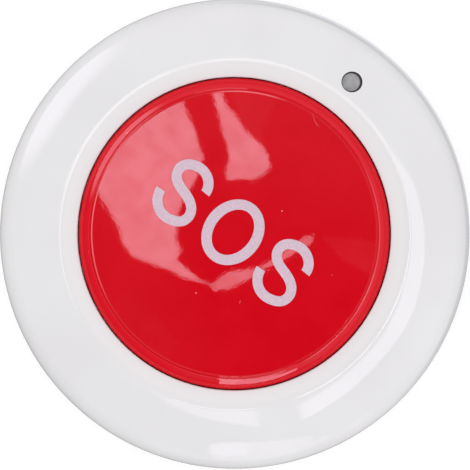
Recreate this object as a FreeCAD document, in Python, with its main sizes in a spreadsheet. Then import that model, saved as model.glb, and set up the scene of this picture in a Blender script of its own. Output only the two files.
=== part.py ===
import FreeCAD, Part
import math
import os
import re

import Sketcher

# A round wireless call button: a white domed housing around a large red push cap.
# Millimetres. The origin is the middle of the flat back, +Z runs out through the cap,
# and +Y points at the indicator window, which is the top of the printed legend.

doc = FreeCAD.newDocument("call_button")
sheet = doc.addObject("Spreadsheet::Sheet", "sizes")

# Driving dimensions: alias, value, what it measures
DRIVING = [
    ("housing_radius", "33.35", "outside of both covers"),
    ("ring_width", "11.25", "white ring, from the cap opening to the outside"),
    ("rear_height", "8.0", "back face to the seam"),
    ("front_height", "8.4", "seam to the crease at the top of the ring"),
    ("shell_wall", "2.6", "side wall of both covers"),
    ("floor_wall", "2.4", "floor of the rear cover"),
    ("roof_wall", "2.3", "top of the ring"),
    ("base_round", "1.5", "rounded foot of the rear cover"),
    ("bevel_width", "2.6", "cap opening to the crease"),
    ("bevel_drop", "0.9", "fall of the bevel towards the cap"),
    ("crease_round", "1.5", "rounding of the crease"),
    ("lip_round", "0.25", "rounding of the opening's edge"),
    ("shoulder_drop", "2.3", "crease down to the ring's outer corner"),
    ("dome_radius", "20.0", "arc of the ring between crease and corner"),
    ("shoulder_round", "3.2", "rounding of the outer corner"),
    ("collar_wall", "1.7", "sleeve that guides the cap"),
    ("collar_depth", "2.6", "length of that sleeve"),
    ("tongue_wall", "0.8", "tongue under the front cover"),
    ("tongue_length", "1.2", "how far the tongue goes down"),
    ("groove_depth", "2.2", "groove in the rear cover's rim"),
    ("tongue_play", "0.1", "side play of the tongue in its groove"),
    ("reveal_height", "0.35", "shadow line at the seam"),
    ("reveal_depth", "0.5", "depth of that line"),
    ("seal_radius", "0.45", "section of the housing seal"),
    ("seal_seat", "0.05", "seal to the bottom of its groove"),
    ("button_gap", "0.15", "gap around the cap"),
    ("button_travel", "0.6", "press of the cap"),
    ("button_play", "0.1", "stop faces of the cap at rest"),
    ("cap_rise", "0.1", "edge of the cap's face above the crease"),
    ("cap_crown", "0.6", "rise of the face to its middle"),
    ("cap_rim_width", "1.75", "groove and ledge outside the face"),
    ("cap_rim_drop", "1.3", "fall of that rim"),
    ("cap_step_width", "0.2", "inner wall of the groove around the face"),
    ("cap_step_drop", "0.16", "fall of that wall"),
    ("cap_groove_width", "0.12", "outer wall of that groove"),
    ("cap_groove_rise", "0.06", "rise of the outer wall"),
    ("cap_ledge_arc", "2.3", "arc of the ledge"),
    ("cap_edge_round", "0.75", "rounding between face and groove"),
    ("cap_side_round", "0.35", "rounding between ledge and side"),
    ("cap_wall", "1.6", "wall of the cap"),
    ("flange_lip", "0.9", "stop flange outside the opening"),
    ("flange_wall", "1.0", "thickness of the flange"),
    ("guide_width", "2.4", "ribs that keep the cap from turning"),
    ("guide_play", "0.2", "side play of those ribs"),
    ("guide_count", "3", "how many of them"),
    ("stem_radius", "2.2", "middle stem of the cap"),
    ("stem_play", "0.05", "stem to the switch plunger"),
    ("cup_wall", "0.9", "ring that centres the spring"),
    ("cup_depth", "1.3", "depth of that ring"),
    ("rib_wall", "1.0", "ribs under the cap"),
    ("rib_depth", "1.5", "depth of those ribs"),
    ("rib_count", "6", "how many of them"),
    ("spring_radius", "5.2", "middle of the spring wire from the axis"),
    ("wire_radius", "0.25", "spring wire"),
    ("spring_pitch", "1.4", "rise of a turn"),
    ("spring_play", "0.2", "around and above the spring"),
    ("legend_height", "9.82", "printed letters, bottom to top"),
    ("legend_stroke", "1.41", "stroke of the letters"),
    ("legend_side_stroke", "1.51", "sides of the middle letter"),
    ("narrow_letter", "6.91", "width of the outer letters"),
    ("wide_letter", "8.24", "width of the middle letter"),
    ("legend_gap", "1.42", "space between letters"),
    ("legend_shift", "0.21", "print's middle left of the axis"),
    ("legend_rise", "0.07", "print's middle above the axis"),
    ("legend_film", "0.08", "height of the print"),
    ("legend_angle", "-0.66", "turn of the line of letters"),
    ("screw_count", "4", "housing screws"),
    ("screw_radius", "1.1", "screw thread outside"),
    ("screw_head", "2.1", "screw head radius"),
    ("screw_head_height", "1.5", "screw head height"),
    ("screw_length", "9.0", "screw below its head"),
    ("screw_land", "3.0", "back face to the seat of the head"),
    ("screw_play", "0.3", "around the head and the shank"),
    ("thread_play", "0.05", "around the thread in its boss"),
    ("boss_wall", "1.4", "boss around the thread"),
    ("cross_width", "0.7", "driver slot width"),
    ("cross_depth", "0.8", "driver slot depth"),
    ("cell_radius", "10.0", "coin cell radius"),
    ("cell_height", "3.2", "coin cell thickness"),
    ("cell_button_radius", "8.4", "negative side of the cell"),
    ("cell_step", "0.35", "step at the edge of the cell"),
    ("cell_play", "0.25", "around the cell in its door"),
    ("contact_room", "1.6", "cell to the circuit board"),
    ("door_inset", "0.2", "door below the back face"),
    ("door_floor", "1.4", "door under the cell"),
    ("door_flange", "1.1", "thickness of the door's flange"),
    ("door_flange_width", "1.9", "flange outside the door's wall"),
    ("door_wall", "1.2", "wall around the cell"),
    ("door_play", "0.2", "around the door"),
    ("door_gap", "0.1", "between door and ledge"),
    ("lug_reach", "1.3", "twist lugs outside the door's wall"),
    ("lug_height", "0.8", "thickness of a lug"),
    ("lug_width", "3.6", "width of a lug"),
    ("lug_count", "3", "how many lugs"),
    ("door_angle", "30", "twist that frees the door"),
    ("ring_radius", "0.3", "section of the door's sealing ring"),
    ("ring_play", "0.2", "sealing ring's groove, both sides together"),
    ("coin_slot_length", "15.0", "coin slot"),
    ("coin_slot_width", "2.2", "coin slot"),
    ("coin_slot_depth", "0.8", "coin slot"),
    ("hook_spacing", "41.0", "between the two keyholes"),
    ("hook_entry", "3.7", "radius that takes a screw head"),
    ("hook_slot", "1.9", "half the slot that takes its shank"),
    ("hook_travel", "5.5", "length of the slot"),
    ("hook_skin", "1.6", "wall that hangs on the screw head"),
    ("hook_room", "2.6", "room for the screw head"),
    ("hook_wall", "1.1", "box around that room"),
    ("board_thickness", "1.6", "circuit board"),
    ("board_play", "0.9", "board to the side wall"),
    ("indicator_inset", "6.3", "window's middle from the outside"),
    ("indicator_radius", "1.48", "window in the ring"),
    ("indicator_play", "0.1", "around the light guide"),
    ("indicator_recess", "0.9", "crease down to the light guide"),
    ("guide_flange", "0.8", "collar of the light guide"),
    ("guide_flange_height", "0.8", "thickness of that collar"),
    ("led_length", "2.8", "light source on the board"),
    ("led_width", "1.6", "light source on the board"),
    ("led_height", "1.0", "light source on the board"),
    ("led_gap", "0.3", "light source to the light guide"),
    ("switch_side", "6.0", "press switch"),
    ("switch_body", "2.9", "height of the moulded switch base"),
    ("switch_sheet", "0.25", "metal cover of the switch"),
    ("switch_height", "5.0", "board to the top of the plunger"),
    ("plunger_radius", "1.7", "plunger of the switch"),
    ("plunger_play", "0.08", "around the plunger"),
    ("plunger_flange", "0.4", "foot of the plunger, outside and high"),
    ("switch_well", "2.3", "radius of the well in the switch"),
    ("switch_floor", "1.0", "floor of that well"),
    ("snap_sheet", "0.1", "snap disc"),
    ("leg_width", "0.7", "leg of the switch"),
    ("leg_sheet", "0.3", "thickness of a leg"),
    ("leg_spacing", "4.5", "between the legs of one side"),
    ("leg_drop", "0.7", "leg below the board"),
    ("leg_play", "0.15", "hole around a leg"),
    ("blade_width", "2.8", "negative contact blade"),
    ("blade_sheet", "0.2", "contact strip"),
    ("blade_root", "8.0", "middle to the foot of the negative contact"),
    ("blade_foot", "3.0", "soldered length of a contact"),
    ("blade_gap", "0.06", "contact to the cell"),
    ("clip_width", "5.0", "positive contact blade"),
    ("chip_left", "12.0", "axis to the encoder's middle"),
    ("chip_up", "5.0", "axis to the encoder's middle"),
    ("chip_length", "4.9", "encoder"),
    ("chip_width", "3.9", "encoder"),
    ("chip_height", "1.4", "encoder"),
    ("chip_lift", "0.15", "board to the encoder"),
    ("pin_count", "4", "pins on a side of the encoder"),
    ("pin_pitch", "1.27", "between pins"),
    ("pin_width", "0.42", "pin"),
    ("pin_reach", "1.05", "pin outside the encoder"),
    ("pin_sheet", "0.22", "pin thickness"),
    ("pin_level", "0.75", "pin's root above the board"),
    ("resonator_right", "11.5", "axis to the resonator's middle"),
    ("resonator_down", "6.5", "axis to the resonator's middle"),
    ("resonator_radius", "4.1", "resonator can"),
    ("resonator_height", "3.0", "resonator can"),
    ("resonator_brim", "0.55", "brim of the can"),
    ("resonator_brim_height", "0.4", "thickness of the brim"),
    ("transistor_left", "2.0", "axis to the transistor's middle"),
    ("transistor_down", "10.0", "axis to the transistor's middle"),
    ("transistor_length", "2.9", "transistor"),
    ("transistor_width", "1.3", "transistor"),
    ("transistor_height", "1.0", "transistor"),
    ("chip_part_length", "2.0", "small part on the board"),
    ("chip_part_width", "1.25", "small part on the board"),
    ("capacitor_height", "0.9", "small capacitor"),
    ("resistor_height", "0.5", "small resistor"),
    ("part_pitch", "2.6", "between small parts"),
    ("part_columns", "3", "small parts of a kind side by side"),
    ("part_rows", "2", "rows of them"),
    ("capacitor_right", "9.5", "axis to the first capacitor"),
    ("capacitor_up", "9.5", "axis to the first capacitor"),
    ("resistor_left", "13.5", "axis to the first resistor"),
    ("resistor_down", "6.0", "axis to the first resistor"),
    ("antenna_radius", "1.6", "middle of the antenna wire from its axis"),
    ("antenna_wire", "0.25", "antenna wire radius"),
    ("antenna_pitch", "1.3", "rise of an antenna turn"),
    ("antenna_length", "13.0", "antenna coil"),
    ("antenna_down", "16.0", "middle of the board to the antenna's axis"),
]

ALIASES = [alias for alias, value, note in DRIVING]
for row, (alias, value, note) in enumerate(DRIVING, 1):
    sheet.set(f"A{row}", note)
    sheet.set(f"B{row}", value)
    sheet.setAlias(f"B{row}", alias)
doc.recompute()

# Radii and places worked out from the driving dimensions
INSIDE = "(housing_radius - shell_wall)"
OPENING = "(housing_radius - ring_width)"
CREASE = "(housing_radius - ring_width + bevel_width)"
COLLAR = "(housing_radius - ring_width + collar_wall)"
CHANNEL = f"(({COLLAR} + {INSIDE}) / 2)"
TONGUE_IN = "(housing_radius - shell_wall / 2 - tongue_wall / 2)"
TONGUE_OUT = "(housing_radius - shell_wall / 2 + tongue_wall / 2)"
CAP = f"({OPENING} - button_gap)"
CAP_FACE = f"({CAP} - cap_rim_width)"
CAP_STEP = f"({CAP_FACE} + cap_step_width)"
CAP_GROOVE = f"({CAP_STEP} + cap_groove_width)"
CAP_INSIDE = f"({CAP} - cap_wall)"
FLANGE = f"({OPENING} + flange_lip)"
CUP_IN = "(spring_radius + wire_radius + spring_play)"
CUP_OUT = f"({CUP_IN} + cup_wall)"
DOOR_BORE = "(cell_radius + cell_play)"
DOOR_WALL = f"({DOOR_BORE} + door_wall)"
LEDGE = f"({DOOR_WALL} + door_play)"
DOOR_EDGE = f"({DOOR_WALL} + door_flange_width)"
DOOR_RECESS = f"({DOOR_EDGE} + door_play)"
LUG_OUT = f"({DOOR_WALL} + lug_reach)"
DOOR_GROOVE_IN = f"({DOOR_WALL} + door_flange_width / 2 - ring_radius - ring_play / 2)"
DOOR_GROOVE_OUT = f"({DOOR_WALL} + door_flange_width / 2 + ring_radius + ring_play / 2)"
BOARD = f"({INSIDE} - board_play)"
WINDOW = "(housing_radius - indicator_inset)"
LIGHT_GUIDE = "(indicator_radius - indicator_play)"
BOSS = "(screw_radius + thread_play + boss_wall)"

# Levels worked out from the driving dimensions, from the back face up
DOOR_FLANGE_TOP = "(door_inset + door_flange)"
LEDGE_BOTTOM = f"({DOOR_FLANGE_TOP} + door_gap)"
LUG_BOTTOM = "(floor_wall + door_gap)"
LUG_TOP = f"({LUG_BOTTOM} + lug_height)"
CELL_BOTTOM = "(door_inset + door_floor)"
CELL_TOP = f"({CELL_BOTTOM} + cell_height)"
BOARD_BOTTOM = f"({CELL_TOP} + contact_room)"
BOARD_TOP = f"({BOARD_BOTTOM} + board_thickness)"
SEAM = "rear_height"
CREST = "(rear_height + front_height)"
SHOULDER = f"({CREST} - shoulder_drop)"
OPENING_EDGE = f"({CREST} - bevel_drop)"
COLLAR_BOTTOM = f"({OPENING_EDGE} - collar_depth)"
FLANGE_TOP = f"({COLLAR_BOTTOM} - button_play)"
FLANGE_BOTTOM = f"({FLANGE_TOP} - flange_wall)"
GUIDE_BOTTOM = f"({FLANGE_BOTTOM} - button_travel)"
FACE_EDGE = f"({CREST} + cap_rise)"
FACE_MIDDLE = f"({FACE_EDGE} + cap_crown)"
FACE_ARC = f"(({CAP_FACE} * {CAP_FACE} + cap_crown * cap_crown) / (2 * cap_crown))"
STEP_FOOT = f"({FACE_EDGE} - cap_step_drop)"
LEDGE_TOP = f"({STEP_FOOT} + cap_groove_rise)"
RIM_EDGE = f"({FACE_EDGE} - cap_rim_drop)"
CAP_UNDER = f"({STEP_FOOT} - cap_wall)"
PLUNGER_TOP = f"({BOARD_TOP} + switch_height)"
STEM_BOTTOM = f"({PLUNGER_TOP} + stem_play)"
SWITCH_TOP = f"({BOARD_TOP} + switch_body)"
WELL_FLOOR = f"({BOARD_TOP} + switch_floor)"
SNAP_TOP = f"({WELL_FLOOR} + button_travel + 2 * snap_sheet)"
LED_TOP = f"({BOARD_TOP} + led_height)"
GUIDE_TOP = f"({CREST} - indicator_recess)"
GUIDE_FOOT = f"({LED_TOP} + led_gap)"
ROOF_UNDER = f"({CREST} - roof_wall)"
HOOK_ROOF = "(hook_skin + hook_room)"
SCREW_TIP = "(screw_land + screw_length)"

FULL_TURN = 360
TOLERANCE = 1e-5

# The narrow letter's middle line, as shares of its half width and half height
UPPER_BOWL = ((0.92, 0.44), (0.77, 0.74), (0.40, 0.94), (0.0, 1.0), (-0.43, 0.94), (-0.79, 0.77),
              (-0.90, 0.56), (-0.81, 0.33), (-0.53, 0.16))
LOWER_BOWL = ((0.0, 0.04), (0.52, -0.08), (0.87, -0.27), (1.0, -0.52), (0.87, -0.78),
              (0.50, -0.94), (0.03, -1.0), (-0.45, -0.92), (-0.82, -0.69), (-0.99, -0.37))
STROKE_STEPS = 60


def formula(text):
    """A text with each alias read from the sheet."""
    def cell(word):
        return "sizes." + word.group() if word.group() in ALIASES else word.group()
    return re.sub(r"[a-z_]+", cell, text)


def number(text):
    return float(sheet.evalExpression(formula(text)))


def bind(target, path, text):
    target.setExpression(path, formula(text))


def new_body(label):
    body = doc.addObject("PartDesign::Body", label)
    body.Label = label
    return body


def origin_of(body, role):
    return next(item for item in body.Origin.OriginFeatures if item.Role == role)


def new_sketch(body, role, level=None):
    """A sketch on one of the body's own planes, or parallel to it at a level."""
    sketch = body.newObject("Sketcher::SketchObject", f"{body.Name}_sketch")
    sketch.AttachmentSupport = [(origin_of(body, role), "")]
    sketch.MapMode = "FlatFace"
    if level is not None:
        bind(sketch, "AttachmentOffset.Base.z", level)
    return sketch


def fix_point(sketch, item, end, across, up):
    """Hold one point of a sketch at two formulas."""
    for kind, axis, text in (("DistanceX", -2, across), ("DistanceY", -1, up)):
        if text == "0":
            sketch.addConstraint(Sketcher.Constraint("PointOnObject", item, end, axis))
            continue
        held = Sketcher.Constraint(kind, -1, 1, item, end, number(text))
        index = sketch.addConstraint(held)
        bind(sketch, f"Constraints[{index}]", text)


def outline(sketch, points, arcs=None):
    """A closed outline. arcs gives, for a side that is round, its radius and its bulge:
    1 for an arc whose middle lies left of the way it runs, -1 for one to the right."""
    arcs = arcs or {}
    corners = [FreeCAD.Vector(number(across), number(up), 0) for across, up in points]
    sides = []
    for index, start in enumerate(corners):
        end = corners[(index + 1) % len(corners)]
        if index in arcs:
            radius, side = arcs[index]
            bulge = number(radius) * side
            half = (end - start) / 2
            left = FreeCAD.Vector(-half.y, half.x, 0).normalize()
            rise = math.copysign(math.sqrt(bulge ** 2 - half.Length ** 2), bulge)
            middle = start + half + left * (rise - bulge)
            edge = Part.Arc(start, middle, end)
            sides.append(sketch.addGeometry(edge))
            size = Sketcher.Constraint("Radius", sides[-1], abs(bulge))
            held = sketch.addConstraint(size)
            bind(sketch, f"Constraints[{held}]", radius)
        else:
            sides.append(sketch.addGeometry(Part.LineSegment(start, end)))
    first = [end_nearest(sketch, side, corner) for side, corner in zip(sides, corners)]
    for index, side in enumerate(sides):
        before = index - 1
        last = 3 - first[before]
        joined = Sketcher.Constraint("Coincident", sides[before], last, side, first[index])
        sketch.addConstraint(joined)
        fix_point(sketch, side, first[index], *points[index])
    return sketch


def end_nearest(sketch, side, corner):
    """1 or 2: which end of a side lies at the corner. An arc may run the other way."""
    start = sketch.getPoint(side, 1)
    return 1 if (start - corner).Length < TOLERANCE else 2


def circle(sketch, across, up, radius):
    middle = FreeCAD.Vector(number(across), number(up), 0)
    size = number(radius)
    item = sketch.addGeometry(Part.Circle(middle, FreeCAD.Vector(0, 0, 1), size))
    fix_point(sketch, item, 3, across, up)
    held = sketch.addConstraint(Sketcher.Constraint("Radius", item, size))
    bind(sketch, f"Constraints[{held}]", radius)


def rectangle(sketch, left, right, low, high):
    outline(sketch, [(left, low), (right, low), (right, high), (left, high)])


def centred(sketch, across, up, length, width):
    rectangle(sketch, f"{across} - {length} / 2", f"{across} + {length} / 2",
              f"{up} - {width} / 2", f"{up} + {width} / 2")


def feature(body, kind, sketch):
    made = body.newObject(f"PartDesign::{kind}", f"{body.Name}_{kind.lower()}")
    made.Profile = sketch
    return made


def pad(body, sketch, height):
    made = feature(body, "Pad", sketch)
    bind(made, "Length", height)
    doc.recompute()
    return made


def pad_both(body, sketch, width):
    """A pad half to each side of its sketch."""
    made = pad(body, sketch, width)
    made.Midplane = True
    doc.recompute()
    return made


def pocket(body, sketch, depth, upward=True):
    """A pocket that must take material away."""
    before = body.Shape.Volume
    made = feature(body, "Pocket", sketch)
    bind(made, "Length", depth)
    made.Reversed = upward
    doc.recompute()
    if not made.Shape.Volume < before - TOLERANCE:
        raise RuntimeError(f"{made.Name} takes nothing away")
    return made


def turn(body, sketch, axis="V_Axis"):
    made = feature(body, "Revolution", sketch)
    made.ReferenceAxis = (sketch, [axis])
    made.Angle = FULL_TURN
    doc.recompute()
    return made


def round_circles(body, base, rounds):
    """Round the full circles at the given radii and levels, one fillet each."""
    for radius, level, size in rounds:
        names = []
        for index, edge in enumerate(base.Shape.Edges, 1):
            if edge.Degenerated or not isinstance(edge.Curve, Part.Circle):
                continue
            off_radius = abs(edge.Curve.Radius - number(radius))
            off_level = abs(edge.Curve.Center.z - number(level))
            if off_radius < TOLERANCE and off_level < TOLERANCE:
                names.append(f"Edge{index}")
        made = body.newObject("PartDesign::Fillet", f"{body.Name}_fillet")
        made.Base = (base, names)
        bind(made, "Radius", size)
        doc.recompute()
        base = made
    return base


def repeat(body, originals, count, whole=False):
    """Copies around +Z."""
    made = body.newObject("PartDesign::PolarPattern", f"{body.Name}_pattern")
    if whole:
        made.TransformMode = "Whole shape"
    else:
        made.Originals = originals
    made.Axis = (origin_of(body, "Z_Axis"), [""])
    made.Angle = FULL_TURN
    bind(made, "Occurrences", count)
    body.Tip = made
    doc.recompute()
    return made


# Housing screws stand halfway between two of the points of the compass.
SCREW_TURN = "(180 / screw_count)"
SCREW_X = f"({CHANNEL} * cos{SCREW_TURN})"
SCREW_Y = f"({CHANNEL} * sin{SCREW_TURN})"


def make_front_cover():
    """The white ring: a domed top, a bevel down to the cap, a sleeve that guides it."""
    body = new_body("front_cover")
    under = f"({COLLAR_BOTTOM} - {GUIDE_BOTTOM})"
    profile = [
        ("housing_radius", f"{SEAM} + reveal_height"),
        ("housing_radius", SHOULDER),
        (CREASE, CREST),
        (OPENING, OPENING_EDGE),
        (OPENING, COLLAR_BOTTOM),
        (COLLAR, COLLAR_BOTTOM),
        (COLLAR, ROOF_UNDER),
        (f"{INSIDE} - shoulder_round / 4", ROOF_UNDER),
        (INSIDE, f"{SHOULDER} - roof_wall / 2"),
        (INSIDE, SEAM),
        (TONGUE_IN, SEAM),
        (TONGUE_IN, f"{SEAM} - tongue_length"),
        (TONGUE_OUT, f"{SEAM} - tongue_length"),
        (TONGUE_OUT, SEAM),
        ("housing_radius - reveal_depth", SEAM),
        ("housing_radius - reveal_depth", f"{SEAM} + reveal_height"),
    ]
    shell = turn(body, outline(new_sketch(body, "XZ_Plane"), profile, {1: ("dome_radius", 1)}))
    shell = round_circles(body, shell, [
        ("housing_radius", SHOULDER, "shoulder_round"),
        (CREASE, CREST, "crease_round"),
        (OPENING, OPENING_EDGE, "lip_round"),
    ])
    sketch = new_sketch(body, "XY_Plane", BOARD_TOP)
    circle(sketch, SCREW_X, SCREW_Y, BOSS)
    boss = pad(body, sketch, f"{ROOF_UNDER} + roof_wall / 4 - {BOARD_TOP}")
    bosses = repeat(body, [boss], "screw_count")
    sketch = new_sketch(body, "XY_Plane", BOARD_TOP)
    circle(sketch, SCREW_X, SCREW_Y, "screw_radius + thread_play")
    bore = pocket(body, sketch, f"{SCREW_TIP} + screw_play - {BOARD_TOP}")
    repeat(body, [bore], "screw_count")
    sketch = new_sketch(body, "XY_Plane", GUIDE_BOTTOM)
    rectangle(sketch, f"{OPENING} + button_gap", COLLAR, "-guide_width / 2", "guide_width / 2")
    guide = pad(body, sketch, f"{under} + collar_depth / 2")
    repeat(body, [guide], "guide_count")
    sketch = new_sketch(body, "XY_Plane", f"{ROOF_UNDER} - roof_wall")
    circle(sketch, "0", WINDOW, "indicator_radius")
    through = f"{CREST} - {ROOF_UNDER} + 2 * roof_wall"
    window = pocket(body, sketch, through)
    body.Tip = window
    return body


def make_rear_cover():
    """The back: screw posts, a recess with a ledge for the battery door, two keyholes."""
    body = new_body("rear_cover")
    rim_in = f"{TONGUE_IN} - tongue_play"
    rim_out = f"{TONGUE_OUT} + tongue_play"
    profile = [
        (DOOR_RECESS, "0"),
        ("housing_radius", "0"),
        ("housing_radius", SEAM),
        (rim_out, SEAM),
        (rim_out, f"{SEAM} - groove_depth"),
        (rim_in, f"{SEAM} - groove_depth"),
        (rim_in, SEAM),
        (INSIDE, SEAM),
        (INSIDE, "floor_wall"),
        (LEDGE, "floor_wall"),
        (LEDGE, LEDGE_BOTTOM),
        (DOOR_RECESS, LEDGE_BOTTOM),
    ]
    shell = turn(body, outline(new_sketch(body, "XZ_Plane"), profile))
    round_circles(body, shell, [("housing_radius", "0", "base_round")])
    sketch = new_sketch(body, "XY_Plane", "floor_wall / 2")
    circle(sketch, SCREW_X, SCREW_Y, "screw_head + screw_play + boss_wall / 2")
    post = pad(body, sketch, f"{BOARD_BOTTOM} - floor_wall / 2")
    repeat(body, [post], "screw_count")
    sketch = new_sketch(body, "XY_Plane")
    circle(sketch, SCREW_X, SCREW_Y, "screw_head + screw_play")
    head_hole = pocket(body, sketch, "screw_land")
    repeat(body, [head_hole], "screw_count")
    sketch = new_sketch(body, "XY_Plane")
    circle(sketch, SCREW_X, SCREW_Y, "screw_radius + screw_play")
    shank_hole = pocket(body, sketch, f"{BOARD_BOTTOM} + screw_play")
    repeat(body, [shank_hole], "screw_count")
    make_lug_ways(body)
    make_keyholes(body)
    return body


def make_lug_ways(body):
    """Ways through the ledge for the lugs, a twist away from where they lock."""
    sketch = new_sketch(body, "XY_Plane", f"{LEDGE_BOTTOM} - door_gap")
    middle = f"({LEDGE} * cos(door_angle))"
    aside = f"(-{LEDGE} * sin(door_angle))"
    reach = f"({LUG_OUT} + door_play - {LEDGE})"
    width = "(lug_width / 2 + door_play)"
    corners = []
    for out, side in ((-1, -1), (1, -1), (1, 1), (-1, 1)):
        across = f"{middle} + {out} * {reach} * cos(door_angle) + {side} * {width} * sin(door_angle)"
        up = f"{aside} - {out} * {reach} * sin(door_angle) + {side} * {width} * cos(door_angle)"
        corners.append((across, up))
    outline(sketch, corners)
    way = pocket(body, sketch, "floor_wall")
    repeat(body, [way], "lug_count")


def make_keyholes(body):
    """Two keyholes, closed inside by a box, so that the button hangs on two screws."""
    wall = "(hook_entry + door_gap + hook_wall)"
    for side in ("-", ""):
        across = f"{side}hook_spacing / 2"
        sketch = new_sketch(body, "XY_Plane", "floor_wall / 2")
        rectangle(sketch, f"{across} - {wall}", f"{across} + {wall}",
                  f"-{wall}", f"hook_travel + {wall}")
        pad(body, sketch, f"{HOOK_ROOF} + hook_wall - floor_wall / 2")
        sketch = new_sketch(body, "XY_Plane", "hook_skin")
        room = "(hook_entry + door_gap)"
        rectangle(sketch, f"{across} - {room}", f"{across} + {room}",
                  f"-{room}", f"hook_travel + {room}")
        pocket(body, sketch, "hook_room")
        sketch = new_sketch(body, "XY_Plane")
        circle(sketch, across, "0", "hook_entry")
        pocket(body, sketch, "hook_skin")
        sketch = new_sketch(body, "XY_Plane")
        slot = [
            (f"{across} - hook_slot", "0"),
            (f"{across} + hook_slot", "0"),
            (f"{across} + hook_slot", "hook_travel"),
            (f"{across}", "hook_travel + hook_slot"),
            (f"{across} - hook_slot", "hook_travel"),
        ]
        outline(sketch, slot, {2: ("hook_slot", 1), 3: ("hook_slot", 1)})
        last = pocket(body, sketch, "hook_skin")
    body.Tip = last


def make_torus(label, radius, section, level):
    """A sealing ring."""
    ring = doc.addObject("Part::Torus", label)
    ring.Label = label
    bind(ring, "Radius1", radius)
    bind(ring, "Radius2", section)
    bind(ring, "Placement.Base.z", level)
    return ring


def make_screws():
    """Self-tapping screws with a domed head and a cross slot, put in from the back."""
    body = new_body("housing_screws")
    sketch = new_sketch(body, "XY_Plane", "screw_land")
    circle(sketch, SCREW_X, SCREW_Y, "screw_radius")
    pad(body, sketch, "screw_length")
    sketch = new_sketch(body, "XY_Plane", "screw_land - screw_head_height")
    circle(sketch, SCREW_X, SCREW_Y, "screw_head")
    head = pad(body, sketch, "screw_head_height")
    rounded = body.newObject("PartDesign::Fillet", "screw_head_round")
    low = [f"Edge{index}" for index, edge in enumerate(head.Shape.Edges, 1)
           if edge.BoundBox.ZMax < number("screw_land - screw_head_height") + TOLERANCE]
    rounded.Base = (head, low)
    bind(rounded, "Radius", "screw_head_height / 2")
    doc.recompute()
    for length, width in (("screw_head", "cross_width"), ("cross_width", "screw_head")):
        sketch = new_sketch(body, "XY_Plane", "screw_land - screw_head_height")
        centred(sketch, SCREW_X, SCREW_Y, length, width)
        pocket(body, sketch, "cross_depth")
    repeat(body, [], "screw_count", whole=True)
    return body


def make_battery_door():
    """A round door with a coin slot, a cup for the cell and lugs that lock by a twist."""
    body = new_body("battery_door")
    groove_floor = f"{LEDGE_BOTTOM} - ring_radius * 2 - door_gap / 2"
    profile = [
        ("0", "door_inset"),
        (DOOR_EDGE, "door_inset"),
        (DOOR_EDGE, DOOR_FLANGE_TOP),
        (DOOR_GROOVE_OUT, DOOR_FLANGE_TOP),
        (DOOR_GROOVE_OUT, groove_floor),
        (DOOR_GROOVE_IN, groove_floor),
        (DOOR_GROOVE_IN, DOOR_FLANGE_TOP),
        (DOOR_WALL, DOOR_FLANGE_TOP),
        (DOOR_WALL, LUG_TOP),
        (DOOR_BORE, LUG_TOP),
        (DOOR_BORE, CELL_BOTTOM),
        ("0", CELL_BOTTOM),
    ]
    turn(body, outline(new_sketch(body, "XZ_Plane"), profile))
    sketch = new_sketch(body, "XY_Plane", LUG_BOTTOM)
    rectangle(sketch, f"{DOOR_WALL} - door_wall / 2", LUG_OUT, "-lug_width / 2", "lug_width / 2")
    lug = pad(body, sketch, "lug_height")
    repeat(body, [lug], "lug_count")
    sketch = new_sketch(body, "XY_Plane", "door_inset")
    centred(sketch, "0", "0", "coin_slot_length", "coin_slot_width")
    slot = pocket(body, sketch, "coin_slot_depth")
    body.Tip = slot
    return body


def make_coin_cell():
    """The can is the wide side, down in the door; the narrow side faces the board."""
    body = new_body("coin_cell")
    profile = [
        ("0", CELL_BOTTOM),
        ("cell_radius", CELL_BOTTOM),
        ("cell_radius", f"{CELL_TOP} - cell_step"),
        ("cell_button_radius", f"{CELL_TOP} - cell_step"),
        ("cell_button_radius", CELL_TOP),
        ("0", CELL_TOP),
    ]
    turn(body, outline(new_sketch(body, "XZ_Plane"), profile))
    return body


def make_button_cap():
    """The red cap: a crowned face with a fine groove around it, a rounded ledge, a side with
    a stop flange, and a stem in the middle."""
    body = new_body("button_cap")
    profile = [
        ("0", FACE_MIDDLE),
        ("0", STEM_BOTTOM),
        ("stem_radius", STEM_BOTTOM),
        ("stem_radius", CAP_UNDER),
        (CUP_IN, CAP_UNDER),
        (CUP_IN, f"{CAP_UNDER} - cup_depth"),
        (CUP_OUT, f"{CAP_UNDER} - cup_depth"),
        (CUP_OUT, CAP_UNDER),
        (CAP_INSIDE, CAP_UNDER),
        (CAP_INSIDE, FLANGE_BOTTOM),
        (FLANGE, FLANGE_BOTTOM),
        (FLANGE, FLANGE_TOP),
        (CAP, FLANGE_TOP),
        (CAP, RIM_EDGE),
        (CAP_GROOVE, LEDGE_TOP),
        (CAP_STEP, STEP_FOOT),
        (CAP_FACE, FACE_EDGE),
    ]
    arcs = {13: ("cap_ledge_arc", 1), 16: (FACE_ARC, 1)}
    shell = turn(body, outline(new_sketch(body, "XZ_Plane"), profile, arcs))
    round_circles(body, shell, [
        (CAP_FACE, FACE_EDGE, "cap_edge_round"),
        (CAP, RIM_EDGE, "cap_side_round"),
    ])
    sketch = new_sketch(body, "XY_Plane", f"{CAP_UNDER} - rib_depth")
    rectangle(sketch, f"{CUP_OUT} - cup_wall / 2", f"{CAP_INSIDE} + cap_wall / 2",
              "-rib_wall / 2", "rib_wall / 2")
    rib = pad(body, sketch, "rib_depth + cap_wall / 4")
    repeat(body, [rib], "rib_count")
    sketch = new_sketch(body, "XY_Plane", f"{FLANGE_BOTTOM} - button_play")
    width = "(guide_width / 2 + guide_play)"
    rectangle(sketch, CAP, f"{FLANGE} + flange_lip", f"-{width}", width)
    notch = pocket(body, sketch, "flange_wall + button_play * 2")
    repeat(body, [notch], "guide_count")
    return body


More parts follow.
